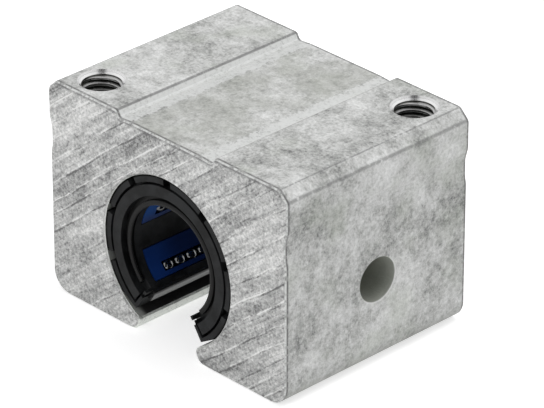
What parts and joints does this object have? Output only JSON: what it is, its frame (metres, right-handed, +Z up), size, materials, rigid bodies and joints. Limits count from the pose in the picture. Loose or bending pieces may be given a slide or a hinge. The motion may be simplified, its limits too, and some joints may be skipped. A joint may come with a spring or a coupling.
{
  "type": "linear bearing block",
  "caption": "Open aluminium bearing block with a slotted ball bushing that slides along a supported round shaft.",
  "frame": {"origin": "middle of the underside, below the shaft's axis", "axes": "+Y along the shaft, +Z up towards the mounting face, +X across the block"},
  "size_m": [0.06, 0.044, 0.042],
  "materials": {
    "bare_aluminium": "raw extruded and sawn, mottled",
    "screw_steel": "black oxide",
    "black_plastic": "moulded, satin",
    "seal_rubber": "satin",
    "strip_rubber": "smooth, glossy",
    "blue_plastic": "moulded, satin",
    "plate_steel": "ground",
    "ball_steel": "polished"
  },
  "bodies": {
    "block": {"housing": "bare_aluminium", "locating_screw": "screw_steel", "bushing_sleeve": "black_plastic", "end_ring_front": "black_plastic", "end_ring_rear": "black_plastic", "wiper_seal_front": "seal_rubber", "wiper_seal_rear": "seal_rubber", "slot_strip_left": "strip_rubber", "slot_strip_right": "strip_rubber"},
    "segment_1": {"ball_carrier_1": "blue_plastic", "load_plate_1": "plate_steel", "ball_circuit_1": "ball_steel"},
    "segment_2": {"ball_carrier_2": "blue_plastic", "load_plate_2": "plate_steel", "ball_circuit_2": "ball_steel"},
    "segment_3": {"ball_carrier_3": "blue_plastic", "load_plate_3": "plate_steel", "ball_circuit_3": "ball_steel"},
    "segment_4": {"ball_carrier_4": "blue_plastic", "load_plate_4": "plate_steel", "ball_circuit_4": "ball_steel"},
    "segment_5": {"ball_carrier_5": "blue_plastic", "load_plate_5": "plate_steel", "ball_circuit_5": "ball_steel"}
  },
  "joints": [
    {"name": "segment_1_rocking", "type": "hinge", "parent": "block", "child": "segment_1", "pos_m": [-0.01332, 0, 0.00822], "axis": [-0.5505, 0, 0.8348], "range_deg": [-0.5, 0.5]},
    {"name": "segment_2_rocking", "type": "hinge", "parent": "block", "child": "segment_2", "pos_m": [-0.01404, 0, 0.02456], "axis": [0.4741, 0, 0.8805], "range_deg": [-0.5, 0.5]},
    {"name": "segment_3_rocking", "type": "hinge", "parent": "block", "child": "segment_3", "pos_m": [0, 0, 0.03295], "axis": [1, 0, 0], "range_deg": [-0.5, 0.5]},
    {"name": "segment_4_rocking", "type": "hinge", "parent": "block", "child": "segment_4", "pos_m": [0.01404, 0, 0.02456], "axis": [0.4741, 0, -0.8805], "range_deg": [-0.5, 0.5]},
    {"name": "segment_5_rocking", "type": "hinge", "parent": "block", "child": "segment_5", "pos_m": [0.01332, 0, 0.00822], "axis": [-0.5505, 0, -0.8348], "range_deg": [-0.5, 0.5]}
  ]
}
